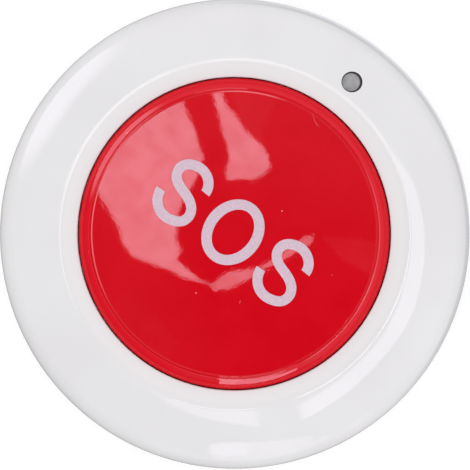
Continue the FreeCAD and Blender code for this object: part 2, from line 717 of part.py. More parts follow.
def make_return_spring():
    """A compression spring around the switch, between the board and the cap."""
    body = new_body("return_spring")
    sketch = new_sketch(body, "XZ_Plane")
    circle(sketch, "spring_radius", f"{BOARD_TOP} + wire_radius", "wire_radius")
    spring = body.newObject("PartDesign::AdditiveHelix", "spring_helix")
    spring.Profile = sketch
    spring.ReferenceAxis = (sketch, ["V_Axis"])
    spring.Mode = "pitch-height-angle"
    spring.Angle = 0
    bind(spring, "Pitch", "spring_pitch")
    bind(spring, "Height", f"{CAP_UNDER} - {BOARD_TOP} - 2 * wire_radius - spring_play / 2")
    doc.recompute()
    return body


def make_circuit_board():
    """A round board held between the posts and the bosses."""
    body = new_body("circuit_board")
    sketch = new_sketch(body, "XY_Plane", BOARD_BOTTOM)
    circle(sketch, "0", "0", BOARD)
    pad(body, sketch, "board_thickness")
    sketch = new_sketch(body, "XY_Plane", BOARD_BOTTOM)
    circle(sketch, SCREW_X, SCREW_Y, "screw_radius + screw_play")
    hole = pocket(body, sketch, "board_thickness")
    repeat(body, [hole], "screw_count")
    sketch = new_sketch(body, "XY_Plane", BOARD_BOTTOM)
    for across, up in leg_places():
        centred(sketch, across, up, "(leg_sheet + 2 * leg_play)", "(leg_width + 2 * leg_play)")
    holes = pocket(body, sketch, "board_thickness")
    body.Tip = holes
    return body


def leg_places():
    """The four legs stand against two sides of the switch."""
    across = "(switch_side / 2 + leg_sheet / 2)"
    up = "(leg_spacing / 2)"
    return [(f"{side}{across}", f"{end}{up}") for side in ("-", "") for end in ("-", "")]


def make_switch_base():
    body = new_body("switch_base")
    sketch = new_sketch(body, "XY_Plane", BOARD_TOP)
    centred(sketch, "0", "0", "switch_side", "switch_side")
    pad(body, sketch, "switch_body")
    sketch = new_sketch(body, "XY_Plane", WELL_FLOOR)
    circle(sketch, "0", "0", "switch_well")
    well = pocket(body, sketch, "switch_body - switch_floor")
    body.Tip = well
    return body


def make_switch_cover():
    """A sheet over the switch with two tabs folded down its free sides."""
    body = new_body("switch_cover")
    sketch = new_sketch(body, "XY_Plane", SWITCH_TOP)
    centred(sketch, "0", "0", "switch_side", "(switch_side + 2 * switch_sheet)")
    circle(sketch, "0", "0", "plunger_radius + plunger_play")
    pad(body, sketch, "switch_sheet")
    sketch = new_sketch(body, "XY_Plane", f"{SWITCH_TOP} - switch_body / 2")
    for low, high in (("-switch_side / 2 - switch_sheet", "-switch_side / 2"),
                      ("switch_side / 2", "switch_side / 2 + switch_sheet")):
        rectangle(sketch, "-switch_side / 4", "switch_side / 4", low, high)
    tabs = pad(body, sketch, "switch_body / 2 + switch_sheet / 2")
    body.Tip = tabs
    return body


def make_switch_plunger():
    body = new_body("switch_plunger")
    foot = "(plunger_radius + plunger_flange)"
    profile = [
        ("0", f"{SNAP_TOP} + stem_play"),
        (foot, f"{SNAP_TOP} + stem_play"),
        (foot, f"{SNAP_TOP} + stem_play + plunger_flange"),
        ("plunger_radius", f"{SNAP_TOP} + stem_play + plunger_flange"),
        ("plunger_radius", PLUNGER_TOP),
        ("0", PLUNGER_TOP),
    ]
    turn(body, outline(new_sketch(body, "XZ_Plane"), profile))
    return body


def make_snap_disc():
    """The thin sprung disc under the plunger, which clicks and makes the contact."""
    body = new_body("snap_disc")
    edge = "(switch_well - plunger_play)"
    rise = "(button_travel + snap_sheet)"
    arc = f"(({edge} * {edge} + {rise} * {rise}) / (2 * {rise}))"
    profile = [
        ("0", SNAP_TOP),
        ("0", f"{SNAP_TOP} - snap_sheet"),
        (edge, WELL_FLOOR),
        (edge, f"{WELL_FLOOR} + snap_sheet"),
    ]
    turn(body, outline(new_sketch(body, "XZ_Plane"), profile, {1: (arc, -1), 3: (arc, 1)}))
    return body


def make_switch_legs():
    """Four legs that go down through the board, as separate solids."""
    body = new_body("switch_legs")
    sketch = new_sketch(body, "XY_Plane", f"{BOARD_BOTTOM} - leg_drop")
    for across, up in leg_places():
        centred(sketch, across, up, "leg_sheet", "leg_width")
    pad(body, sketch, "board_thickness + leg_drop + switch_floor")
    return body


def make_light_guide():
    """The grey window: a clear rod from the light source to the top of the ring."""
    body = new_body("indicator_lens")
    sketch = new_sketch(body, "XY_Plane", GUIDE_FOOT)
    circle(sketch, "0", WINDOW, LIGHT_GUIDE)
    pad(body, sketch, f"{GUIDE_TOP} - {GUIDE_FOOT}")
    top = f"({ROOF_UNDER} - button_play)"
    sketch = new_sketch(body, "XY_Plane", f"{top} - guide_flange_height")
    circle(sketch, "0", WINDOW, f"{LIGHT_GUIDE} + guide_flange")
    flange = pad(body, sketch, "guide_flange_height")
    body.Tip = flange
    return body


def make_block_group(label, places, length, width, height, level=BOARD_TOP):
    """Like blocks on the board, one solid at each place."""
    body = new_body(label)
    sketch = new_sketch(body, "XY_Plane", level)
    for across, up in places:
        centred(sketch, across, up, length, width)
    pad(body, sketch, height)
    return body


def make_chip_pins():
    """Bent pins down both long sides of the encoder."""
    body = new_body("encoder_pins")
    first = "-chip_left - (pin_count - 1) / 2 * pin_pitch - pin_width / 2"
    sketch = new_sketch(body, "YZ_Plane", first)
    for side in ("-", ""):
        root = f"chip_up {side or '+'} chip_width / 2"
        sign = side or "+"
        knee = f"{root} {sign} pin_reach / 2"
        points = [
            (root, f"{BOARD_TOP} + pin_level + pin_sheet"),
            (root, f"{BOARD_TOP} + pin_level"),
            (f"{knee} {'+' if side else '-'} pin_sheet", f"{BOARD_TOP} + pin_level"),
            (f"{knee} {'+' if side else '-'} pin_sheet", BOARD_TOP),
            (f"{root} {sign} pin_reach", BOARD_TOP),
            (f"{root} {sign} pin_reach", f"{BOARD_TOP} + pin_sheet"),
            (knee, f"{BOARD_TOP} + pin_sheet"),
            (knee, f"{BOARD_TOP} + pin_level + pin_sheet"),
        ]
        outline(sketch, points)
    pad(body, sketch, "pin_width")
    row = body.newObject("PartDesign::LinearPattern", "pin_row")
    row.TransformMode = "Whole shape"
    row.Direction = (origin_of(body, "X_Axis"), [""])
    row.Mode = "Spacing"
    bind(row, "Offset", "pin_pitch")
    bind(row, "Occurrences", "pin_count")
    body.Tip = row
    doc.recompute()
    return body


def make_resonator():
    body = new_body("resonator_can")
    sketch = new_sketch(body, "XY_Plane", BOARD_TOP)
    circle(sketch, "resonator_right", "-resonator_down", "resonator_radius + resonator_brim")
    pad(body, sketch, "resonator_brim_height")
    sketch = new_sketch(body, "XY_Plane", BOARD_TOP)
    circle(sketch, "resonator_right", "-resonator_down", "resonator_radius")
    can = pad(body, sketch, "resonator_height")
    body.Tip = can
    return body


def make_negative_contact():
    """A sprung strip from the board's underside to the middle of the cell."""
    body = new_body("negative_contact")
    touch = f"({CELL_TOP} + blade_gap)"
    profile = [
        ("-blade_root - blade_foot / 2", BOARD_BOTTOM),
        ("-blade_root - blade_foot / 2", f"{BOARD_BOTTOM} - blade_sheet"),
        ("-blade_root + blade_foot / 2", f"{BOARD_BOTTOM} - blade_sheet"),
        ("-blade_foot / 2", touch),
        ("blade_foot / 2", touch),
        ("blade_foot", f"{touch} + blade_sheet * 2"),
        ("blade_foot", f"{touch} + blade_sheet * 3"),
        ("blade_foot / 2", f"{touch} + blade_sheet"),
        ("-blade_foot / 2", f"{touch} + blade_sheet"),
        ("-blade_root + blade_foot / 2", BOARD_BOTTOM),
    ]
    pad_both(body, outline(new_sketch(body, "XZ_Plane"), profile), "blade_width")
    return body


def make_positive_contact():
    """A sprung strip that touches the side of the cell's can above the door's cup."""
    body = new_body("positive_contact")
    touch = "(cell_radius + blade_gap)"
    low = f"({LUG_TOP} + door_gap * 2)"
    profile = [
        (touch, low),
        (f"{touch} + blade_sheet", low),
        (f"{touch} + blade_sheet", f"{BOARD_BOTTOM} - blade_sheet"),
        (f"{touch} + blade_foot", f"{BOARD_BOTTOM} - blade_sheet"),
        (f"{touch} + blade_foot", BOARD_BOTTOM),
        (touch, BOARD_BOTTOM),
    ]
    pad_both(body, outline(new_sketch(body, "XZ_Plane"), profile), "clip_width")
    return body


def make_antenna():
    """A wire coil that lies on the board, its axis along X."""
    body = new_body("antenna_coil")
    level = f"{BOARD_TOP} + antenna_radius + antenna_wire"
    sketch = new_sketch(body, "XY_Plane", level)
    half = number("antenna_length") / 2
    middle = number("-antenna_down")
    ends = [FreeCAD.Vector(side * half, middle, 0) for side in (-1, 1)]
    axis = sketch.addGeometry(Part.LineSegment(*ends), True)
    fix_point(sketch, axis, 1, "-antenna_length / 2", "-antenna_down")
    fix_point(sketch, axis, 2, "antenna_length / 2", "-antenna_down")
    circle(sketch, "-antenna_length / 2", "-antenna_down - antenna_radius", "antenna_wire")
    coil = body.newObject("PartDesign::AdditiveHelix", "antenna_helix")
    coil.Profile = sketch
    coil.ReferenceAxis = (sketch, ["Axis0"])
    coil.Mode = "pitch-height-angle"
    coil.Angle = 0
    bind(coil, "Pitch", "antenna_pitch")
    bind(coil, "Height", "antenna_length")
    doc.recompute()
    return body


def stroke(points, width):
    """A flat face of even width along a smooth line through the points, ends cut square."""
    line = Part.BSplineCurve()
    line.interpolate([FreeCAD.Vector(across, up, 0) for across, up in points])
    first, last = line.FirstParameter, line.LastParameter
    sides = []
    for side in (-width / 2, width / 2):
        edge_points = []
        for step in range(STROKE_STEPS + 1):
            place = first + (last - first) * step / STROKE_STEPS
            along = line.tangent(place)[0]
            across = FreeCAD.Vector(-along.y, along.x, 0)
            edge_points.append(line.value(place) + across * side)
        edge = Part.BSplineCurve()
        edge.interpolate(edge_points)
        sides.append(edge)
    left, right = sides
    start = Part.makeLine(left.StartPoint, right.StartPoint)
    end = Part.makeLine(left.EndPoint, right.EndPoint)
    edges = [left.toShape(), end, right.toShape(), start]
    return Part.Face(Part.Wire(Part.__sortEdges__(edges)))


def narrow_letter(middle):
    """An S: two bowls, the lower one wider, joined by a sloping spine."""
    width = number("legend_stroke")
    high = (number("legend_height") - width) / 2
    wide = (number("narrow_letter") - width) / 2
    line = UPPER_BOWL + LOWER_BOWL
    return stroke([(middle + wide * across, high * up) for across, up in line], width)


def wide_letter(place):
    """An O: two ellipses."""
    middle = FreeCAD.Vector(place, 0, 0)
    tall = number("legend_height") / 2
    across = number("wide_letter") / 2
    faces = []
    for high, wide in ((tall, across),
                       (tall - number("legend_stroke"), across - number("legend_side_stroke"))):
        top = middle + FreeCAD.Vector(0, high, 0)
        right = middle + FreeCAD.Vector(wide, 0, 0)
        curve = Part.Ellipse(top, right, middle)
        faces.append(Part.Face(Part.Wire(curve.toShape())))
    return faces[0].cut(faces[1])


def make_legend():
    """The distress legend: three letters of print that follow the cap's crown."""
    step = (number("wide_letter") + number("narrow_letter")) / 2 + number("legend_gap")
    place = -number("legend_shift")
    film = number("legend_film")
    arc = number(FACE_ARC)
    middle = FreeCAD.Vector(0, 0, number(FACE_MIDDLE) - arc)
    inner = Part.makeSphere(arc, middle)
    outer = Part.makeSphere(arc + film, middle)
    letters = []
    for face in (narrow_letter(place - step), wide_letter(place), narrow_letter(place + step)):
        face.translate(FreeCAD.Vector(0, number("legend_rise"), number(FACE_EDGE)))
        block = face.extrude(FreeCAD.Vector(0, 0, number("cap_crown") + film * 2))
        letters.extend(block.common(outer).cut(inner).Solids)
    legend = doc.addObject("Part::Feature", "legend_print")
    legend.Label = "legend_print"
    legend.Shape = Part.makeCompound(letters)
    legend.Placement.Rotation = FreeCAD.Rotation(FreeCAD.Vector(0, 0, 1), number("legend_angle"))
    return legend


def block_grid(across, up):
    """Places a pitch apart, to the right and down from the first."""
    columns = range(int(number("part_columns")))
    rows = range(int(number("part_rows")))
    return [(f"{across} + {column} * part_pitch", f"{up} - {row} * part_pitch")
            for row in rows for column in columns]


def make_all():
    """Every piece, in the order in which it is put together from the back."""
    small = ("chip_part_length", "chip_part_width")
    capacitors = block_grid("capacitor_right", "capacitor_up")
    resistors = block_grid("-resistor_left", "-resistor_down")
    seal_level = f"{SEAM} - groove_depth + seal_radius + seal_seat"
    ring_level = f"{LEDGE_BOTTOM} - ring_radius - door_gap / 4"
    return [
        make_rear_cover(),
        make_battery_door(),
        make_torus("door_seal", f"{DOOR_WALL} + door_flange_width / 2", "ring_radius", ring_level),
        make_coin_cell(),
        make_torus("housing_seal", "housing_radius - shell_wall / 2", "seal_radius", seal_level),
        make_circuit_board(),
        make_negative_contact(),
        make_positive_contact(),
        make_switch_base(),
        make_switch_cover(),
        make_switch_legs(),
        make_snap_disc(),
        make_switch_plunger(),
        make_block_group("encoder_chip", [("-chip_left", "chip_up")],
                         "chip_length", "chip_width", "chip_height", f"{BOARD_TOP} + chip_lift"),
        make_chip_pins(),
        make_resonator(),
        make_block_group("rf_transistor", [("-transistor_left", "-transistor_down")],
                         "transistor_length", "transistor_width", "transistor_height"),
        make_block_group("capacitors", capacitors, *small, "capacitor_height"),
        make_block_group("resistors", resistors, *small, "resistor_height"),
        make_antenna(),
        make_block_group("indicator_led", [("0", WINDOW)], "led_length", "led_width", "led_height"),
        make_light_guide(),
        make_return_spring(),
        make_button_cap(),
        make_legend(),
        make_front_cover(),
        make_screws(),
    ]


def check(pieces):
    """Stop before anything is written if a feature failed or a piece isn't sound."""
    for item in doc.Objects:
        if "Invalid" in item.State or "Error" in item.State:
            raise RuntimeError(f"{item.Name} failed: {item.State}")
    for piece in pieces:
        shape = piece.Shape
        if shape.isNull() or not shape.isValid() or not shape.Solids:
            raise RuntimeError(f"{piece.Label} has no sound solid")


def write(pieces):
    os.makedirs("parts", exist_ok=True)
    for piece in pieces:
        piece.Shape.exportStep(f"parts/{piece.Label}.step")
        size = piece.Shape.BoundBox
        print(f"{piece.Label}: {len(piece.Shape.Solids)} solids, {piece.Shape.Volume:.2f} mm3, "
              f"z {size.ZMin:.2f} to {size.ZMax:.2f}")


all_pieces = make_all()
doc.recompute()
check(all_pieces)
write(all_pieces)
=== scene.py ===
import math

import bmesh
import bpy
from mathutils import Matrix, Vector


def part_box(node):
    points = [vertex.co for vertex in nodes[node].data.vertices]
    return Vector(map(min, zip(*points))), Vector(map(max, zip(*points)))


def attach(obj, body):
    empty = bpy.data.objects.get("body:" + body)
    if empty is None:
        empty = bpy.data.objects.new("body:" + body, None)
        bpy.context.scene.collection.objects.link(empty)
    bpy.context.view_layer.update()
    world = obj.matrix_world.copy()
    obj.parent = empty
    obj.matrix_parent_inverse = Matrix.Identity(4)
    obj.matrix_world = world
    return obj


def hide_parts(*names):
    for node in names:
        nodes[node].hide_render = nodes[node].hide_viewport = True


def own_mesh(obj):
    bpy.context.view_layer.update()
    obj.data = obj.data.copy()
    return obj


# A round wireless call button: a white gloss housing round a big red gloss cap, seen from above.
# Lengths are metres, and the frame says where every piece is.

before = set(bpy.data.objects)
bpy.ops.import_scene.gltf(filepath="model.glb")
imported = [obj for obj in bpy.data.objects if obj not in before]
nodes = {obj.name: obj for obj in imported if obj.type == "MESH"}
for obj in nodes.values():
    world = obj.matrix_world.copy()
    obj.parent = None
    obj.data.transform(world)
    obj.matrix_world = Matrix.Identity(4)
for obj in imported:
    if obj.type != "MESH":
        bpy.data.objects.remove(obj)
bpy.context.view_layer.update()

MM = 0.001
UM = 0.000001
AXIS = Vector((0, 0, 0))
CAP_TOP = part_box("button_cap")[1].z
RING_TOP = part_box("front_cover")[1].z

# The photograph's frame, the cap's middle in it, and the scale at the top of the ring
FRAME = 470
CAP_MIDDLE = (233.9, 233.6)
PIXEL = 0.1407 * MM
PHOTO_TURN = math.radians(37.9)
CAMERA_DISTANCE = 450 * MM
CAMERA_LEAN = math.radians(1.2)
SENSOR = 36.0

PHOTO_RIGHT = Vector((math.cos(PHOTO_TURN), math.sin(PHOTO_TURN), 0))
PHOTO_UP = Vector((-math.sin(PHOTO_TURN), math.cos(PHOTO_TURN), 0))
CAMERA_SIDE = (PHOTO_RIGHT * 0.95 - PHOTO_UP * 0.3).normalized()


def toward(turn, lean):
    """The direction at a clockwise angle from the photograph's right, so far from straight up."""
    turn = math.radians(turn)
    lean = math.radians(lean)
    flat = PHOTO_RIGHT * math.cos(turn) - PHOTO_UP * math.sin(turn)
    return flat * math.sin(lean) + Vector((0, 0, math.cos(lean)))


# What mirrors the studio: the cap's face and the ring, each a round arc turned round the axis.
# An arc is its middle's distance from the axis, its middle's level and its radius.
FACE_RADIUS = 20.2 * MM
FACE_CROWN = 0.6 * MM
RING_CREASE = Vector((24.7, 16.4)) * MM
RING_CORNER = Vector((33.35, 14.1)) * MM
RING_ARC_RADIUS = 20.0 * MM


def arc_below(start, end, radius):
    """The arc over the chord from start to end."""
    half = (end - start) / 2
    down = Vector((half.y, -half.x)).normalized()
    middle = start + half + down * math.sqrt(radius ** 2 - half.length_squared)
    return middle.x, middle.y, radius


FACE_ARC_RADIUS = (FACE_RADIUS ** 2 + FACE_CROWN ** 2) / (2 * FACE_CROWN)
FACE_ARC = (0.0, CAP_TOP - FACE_ARC_RADIUS, FACE_ARC_RADIUS)
RING_ARC = arc_below(RING_CREASE, RING_CORNER, RING_ARC_RADIUS)


# Node helpers


def add(tree, kind, inputs=None, **settings):
    """A node with its settings, and with its sockets, by name or number, linked or set."""
    made = tree.nodes.new(kind)
    for name, value in settings.items():
        setattr(made, name, value)
    for name, value in (inputs or {}).items():
        if isinstance(value, bpy.types.NodeSocket):
            tree.links.new(value, made.inputs[name])
        else:
            made.inputs[name].default_value = value
    return made


def blank(name):
    """A material with an empty node tree."""
    material = bpy.data.materials.new(name)
    material.use_nodes = True
    material.node_tree.nodes.clear()
    return material, material.node_tree


def start(name, **sockets):
    """A material with one Principled surface, whose sockets take plain values."""
    material, tree = blank(name)
    shader = add(tree, "ShaderNodeBsdfPrincipled")
    for socket, value in sockets.items():
        shader.inputs[socket.replace("_", " ")].default_value = value
    add(tree, "ShaderNodeOutputMaterial", {"Surface": shader.outputs["BSDF"]})
    return material, tree, shader


def feed(tree, shader, **sockets):
    """Links outputs to the surface's sockets by name."""
    for socket, value in sockets.items():
        tree.links.new(value, shader.inputs[socket.replace("_", " ")])


def colour(red, green, blue):
    return (red, green, blue, 1.0)


def math_node(tree, operation, first, second=0.0, third=0.0):
    inputs = {0: first, 1: second, 2: third}
    return add(tree, "ShaderNodeMath", inputs, operation=operation).outputs["Value"]


def times(tree, first, second):
    return math_node(tree, "MULTIPLY", first, second)


def vector_node(tree, operation, first, second=AXIS, output="Vector"):
    inputs = {0: first, 1: second}
    return add(tree, "ShaderNodeVectorMath", inputs, operation=operation).outputs[output]


def blend_values(tree, share, first, second):
    """From the first number to the second by the share."""
    return add(tree, "ShaderNodeMix", {0: share, 2: first, 3: second}).outputs[0]


def blend_colours(tree, share, first, second):
    """From the first colour to the second by the share."""
    return add(tree, "ShaderNodeMix", {0: share, 6: first, 7: second}, data_type="RGBA").outputs[2]


def place(tree):
    """The point on the piece at rest, in metres."""
    return add(tree, "ShaderNodeTexCoord").outputs["Object"]


def from_axis(tree, middle=AXIS):
    """How far the point on the piece is from the upright line through the middle."""
    off = vector_node(tree, "SUBTRACT", place(tree), middle)
    flat = vector_node(tree, "MULTIPLY", off, (1, 1, 0))
    return vector_node(tree, "LENGTH", flat, output="Value")


def along(tree, direction):
    """How far the point on the piece lies along a direction."""
    return vector_node(tree, "DOT_PRODUCT", place(tree), direction, "Value")


def noise(tree, wave, detail=2.0, roughness=0.5):
    """Noise whose blobs are about wave metres across."""
    made = add(tree, "ShaderNodeTexNoise", {
        "Vector": place(tree),
        "Scale": 1 / wave,
        "Detail": detail,
        "Roughness": roughness,
    })
    return made.outputs["Fac"]


def between(tree, value, low, high, to_low=0.0, to_high=1.0):
    """The value's share of the way from low to high, clamped and smooth."""
    made = add(tree, "ShaderNodeMapRange", {
        "Value": value,
        "From Min": low,
        "From Max": high,
        "To Min": to_low,
        "To Max": to_high,
    }, interpolation_type="SMOOTHSTEP")
    return made.outputs["Result"]


def dots(tree, spacing, size):
    """1 on small round dots strewn at this spacing, and 0 between them."""
    cells = add(tree, "ShaderNodeTexVoronoi", {"Vector": place(tree), "Scale": 1 / spacing})
    edge = size / spacing
    return between(tree, cells.outputs["Distance"], edge, edge * 0.7)


def near(tree, value, middle, inner, outer):
    """1 where the value lies within inner of the middle, and 0 beyond outer."""
    off = math_node(tree, "ABSOLUTE", math_node(tree, "SUBTRACT", value, middle))
    return between(tree, off, outer, inner)


def arc_share(tree, radius, turn, inner, outer):
    """1 within inner degrees of a turn round a circle of this radius, and 0 beyond outer degrees."""
    ends = [radius * math.cos(math.radians(angle)) for angle in (outer, inner)]
    return between(tree, along(tree, toward(turn, 90)), *ends)


def stretch(tree, radius, widths, arc, middle=AXIS):
    """1 on a stretch of a band round the middle, and 0 off it.

    The widths are half of the band to where it is full and to where it ends. The arc is its turn
    clockwise from the photograph's right, and half of it to where it is full and to where it ends.
    """
    band = near(tree, from_axis(tree, middle), radius, *widths)
    return times(tree, band, arc_share(tree, radius, *arc))


def bump(tree, height, depth, under=None):
    """A normal from a height map whose full range is depth metres."""
    inputs = {"Height": height, "Distance": depth, "Strength": 1.0}
    if under is not None:
        inputs["Normal"] = under
    return add(tree, "ShaderNodeBump", inputs).outputs["Normal"]


# Finishes


# Painted light: the bevel is made paler, which starts at the outer radius and is full from the inner
# one inwards
BEVEL_OUTER = 24.9 * MM
BEVEL_INNER = 23.6 * MM

# The crease between bevel and dome has a painted highlight at the top of the view, a little off the
# axis
CREASE_MIDDLE = PHOTO_RIGHT * 0.15 * MM - PHOTO_UP * 0.3 * MM
CREASE_HIGHLIGHT_RADIUS = 24.78 * MM
CREASE_WIDTHS = (0.08 * MM, 0.42 * MM)
CREASE_ARC = (268, 55, 88)

# Painted shade: the shoulder is darker along its foot at the right and upper right of the view
FOOT_MIDDLE = PHOTO_RIGHT * 0.2 * MM - PHOTO_UP * 0.085 * MM
FOOT_LINE = 32.735 * MM
FOOT_WIDTHS = (0.05 * MM, 0.36 * MM)
FOOT_ARC = (-25, 50, 75)

# The shoulder is duller and the cap's ledge is glossier at the photograph's bottom
BOTTOM_ARC = (82, 24, 36)
DULL_SHOULDER = 31.8 * MM
DULL_WIDTHS = (0.36 * MM, 0.48 * MM)
GLOSSY_LEDGE = 20.85 * MM
GLOSSY_WIDTHS = (0.33 * MM, 0.43 * MM)


def gloss_white():
    """Moulded gloss ABS: a trace of flow in its tone, a faint waviness and fine dust specks, with
    painted light on the bevel, a painted highlight on the crease and painted shade along the
    shoulder's foot.
    """
    material, tree, shader = start("gloss_white", Roughness=0.055, IOR=1.5)
    tone = between(tree, noise(tree, 14 * MM, 3.0), 0.3, 0.7)
    plain = blend_colours(tree, tone, colour(0.765, 0.752, 0.768), colour(0.795, 0.785, 0.798))
    # Painted light: the bevel near the opening is made paler than the rest of the ring
    bevel_painted_light = between(tree, from_axis(tree), BEVEL_OUTER, BEVEL_INNER)
    plain = blend_colours(tree, bevel_painted_light, plain, colour(0.82, 0.815, 0.825))
    # Painted highlight: a paler line along the crease
    crease_painted_highlight = stretch(tree, CREASE_HIGHLIGHT_RADIUS, CREASE_WIDTHS, CREASE_ARC, CREASE_MIDDLE)
    plain = blend_colours(tree, crease_painted_highlight, plain, colour(0.87, 0.855, 0.868))
    # Painted shade: a darker band along the shoulder's foot
    foot_painted_shade = stretch(tree, FOOT_LINE, FOOT_WIDTHS, FOOT_ARC, FOOT_MIDDLE)
    plain = blend_colours(tree, foot_painted_shade, plain, colour(0.655, 0.65, 0.66))
    speck = times(tree, dots(tree, 2.6 * MM, 0.07 * MM), 0.25)
    feed(tree, shader, Base_Color=blend_colours(tree, speck, plain, colour(0.42, 0.40, 0.39)))
    dull = stretch(tree, DULL_SHOULDER, DULL_WIDTHS, BOTTOM_ARC)
    feed(tree, shader, Specular_IOR_Level=math_node(tree, "MULTIPLY_ADD", dull, -0.33, 0.5))
    waves = bump(tree, noise(tree, 9 * MM, 1.0), 12 * UM)
    feed(tree, shader, Normal=bump(tree, noise(tree, 0.5 * MM, 2.0), 0.3 * UM, waves))
    return material


def satin_white():
    """The same plastic from a finely sparked mould face, as on the rear cover."""
    material, tree, shader = start("satin_white", Roughness=0.42, IOR=1.5)
    tone = between(tree, noise(tree, 11 * MM, 3.0), 0.3, 0.7)
    plain = blend_colours(tree, tone, colour(0.74, 0.73, 0.745), colour(0.775, 0.765, 0.775))
    feed(tree, shader, Base_Color=plain)
    feed(tree, shader, Normal=bump(tree, noise(tree, 0.16 * MM, 3.0, 0.7), 9 * UM))
    return material


# Painted light: the cap's rim is a little paler than its face, in full from this far outside the
# face's edge
RIM_START = 0.4 * MM

# Painted highlights along the face's rounded edge and the groove's outer lip: radius, the arc as
# its turn and half of it to where it is full and to where it ends, and strength
FACE_EDGE = 20.03 * MM
GROOVE_LIP = 20.5 * MM
EDGE_HIGHLIGHT_WIDTHS = (0.03 * MM, 0.14 * MM)
EDGE_HIGHLIGHTS = [
    (FACE_EDGE, (190, 12, 42), 0.62),
    (FACE_EDGE, (276, 6, 17), 0.60),
    (FACE_EDGE, (128, 25, 45), 0.08),
    (GROOVE_LIP, (3, 12, 35), 0.30),
]

# Where the cap is duller: the groove's wall, and all beyond the ledge's edge
GROOVE_WALL = 20.3 * MM
GROOVE_WIDTHS = (0.05 * MM, 0.15 * MM)
LEDGE_EDGE = (21.25 * MM, 21.4 * MM)

# Dust and hairlines on the cap, with one pale spot on the rim as the last: the photograph's pixel,
# length and width in millimetres, turn in degrees, strength
CAP_MARKS = [
    ((282, 211), 0.20, 0.20, 0, 0.8),
    ((196, 293), 0.24, 0.24, 0, 0.45),
    ((240, 302), 0.45, 0.10, 70, 0.35),
    ((314.5, 120), 1.9, 0.055, -68, 0.35),
    ((317, 124), 1.3, 0.05, -50, 0.3),
    ((332, 275), 0.16, 0.16, 0, 0.3),
    ((127, 133), 0.24, 0.20, 0, 0.8),
]


def mark(tree, where, length, width, turn):
    """1 inside a small long spot on the cap, in metres and degrees, and 0 outside."""
    own = add(tree, "ShaderNodeMapping", {
        "Vector": place(tree),
        "Location": (where.x, where.y, where.z),
        "Rotation": (0, 0, math.radians(turn) + PHOTO_TURN),
        "Scale": (length, width, 1.0),
    }, vector_type="TEXTURE").outputs["Vector"]
    return between(tree, vector_node(tree, "LENGTH", own, output="Value"), 0.6, 0.4)


def red_tone(tree):
    """The red's colour: a trace of flow, with painted light on the rim and painted highlights along
    the edges.
    """
    tone = between(tree, noise(tree, 7 * MM, 4.0, 0.6), 0.3, 0.7)
    plain = blend_colours(tree, tone, colour(0.617, 0.0022, 0.0092), colour(0.648, 0.0036, 0.0118))
    # Painted light: the rim is made paler than the face
    rim_painted_light = between(tree, from_axis(tree), FACE_RADIUS, FACE_RADIUS + RIM_START)
    plain = blend_colours(tree, rim_painted_light, plain, colour(0.70, 0.0050, 0.0150))
    # Painted highlights: pale lines along the face's edge and the groove's lip
    for radius, arc, strength in EDGE_HIGHLIGHTS:
        line = times(tree, stretch(tree, radius, EDGE_HIGHLIGHT_WIDTHS, arc), strength)
        plain = blend_colours(tree, line, plain, colour(0.95, 0.25, 0.28))
    return plain


def red_gloss(tree):
    """How strongly the cap mirrors: less in the groove and outside the ledge, more on its stretch."""
    wall = near(tree, from_axis(tree), GROOVE_WALL, *GROOVE_WIDTHS)
    dull = math_node(tree, "MAXIMUM", wall, between(tree, from_axis(tree), *LEDGE_EDGE))
    glossy = stretch(tree, GLOSSY_LEDGE, GLOSSY_WIDTHS, BOTTOM_ARC)
    level = math_node(tree, "MULTIPLY_ADD", dull, -0.3, 0.5)
    return math_node(tree, "MULTIPLY_ADD", glossy, 0.5, level)


def gloss_red(view):
    """Deep red gloss ABS with orange peel, dust, two hairlines, tiny raised specks, and painted light
    on its rim and edges.
    """
    smooth = 0.02
    material, tree, shader = start("gloss_red", Roughness=smooth, IOR=1.5)
    spots = times(tree, dots(tree, 4.5 * MM, 0.09 * MM), 0.35)
    for pixel, length, width, turn, strength in CAP_MARKS:
        shape = mark(tree, seen_on(view, pixel, FACE_ARC), length * MM, width * MM, turn)
        spots = math_node(tree, "MAXIMUM", spots, times(tree, shape, strength))
    spotted = blend_colours(tree, spots, red_tone(tree), colour(0.86, 0.30, 0.33))
    feed(tree, shader, Base_Color=spotted, Specular_IOR_Level=red_gloss(tree))
    feed(tree, shader, Roughness=math_node(tree, "MULTIPLY_ADD", spots, 0.4, smooth))
    waves = bump(tree, noise(tree, 6 * MM, 1.0), 1.2 * UM)
    peel = bump(tree, noise(tree, 1.1 * MM, 2.0, 0.6), 0.8 * UM, waves)
    grain = bump(tree, noise(tree, 0.45 * MM, 2.0), 1.1 * UM, peel)
    feed(tree, shader, Normal=bump(tree, dots(tree, 0.9 * MM, 0.07 * MM), 0.3 * UM, grain))
    return material


def print_ink():
    """Screen-printed white ink, thin enough for the red to tint it, with pinholes."""
    material, tree, shader = start("print_ink", Roughness=0.38, IOR=1.45)
    cover = between(tree, noise(tree, 0.35 * MM, 3.0, 0.7), 0.3, 0.75)
    plain = blend_colours(tree, cover, colour(0.61, 0.44, 0.53), colour(0.69, 0.55, 0.63))
    holes = times(tree, dots(tree, 0.62 * MM, 0.065 * MM), 0.75)
    feed(tree, shader, Base_Color=blend_colours(tree, holes, plain, colour(0.42, 0.12, 0.22)))
    feed(tree, shader, Normal=bump(tree, noise(tree, 0.12 * MM, 2.0), 6 * UM))
    return material


# The lens's painted shade: how far its middle is from the window's towards the left of the view,
# and how far from there the shade starts and is full
WINDOW_SHIFT = 0.13 * MM
LENS_SHADE_RADII = (1.2 * MM, 1.3 * MM)


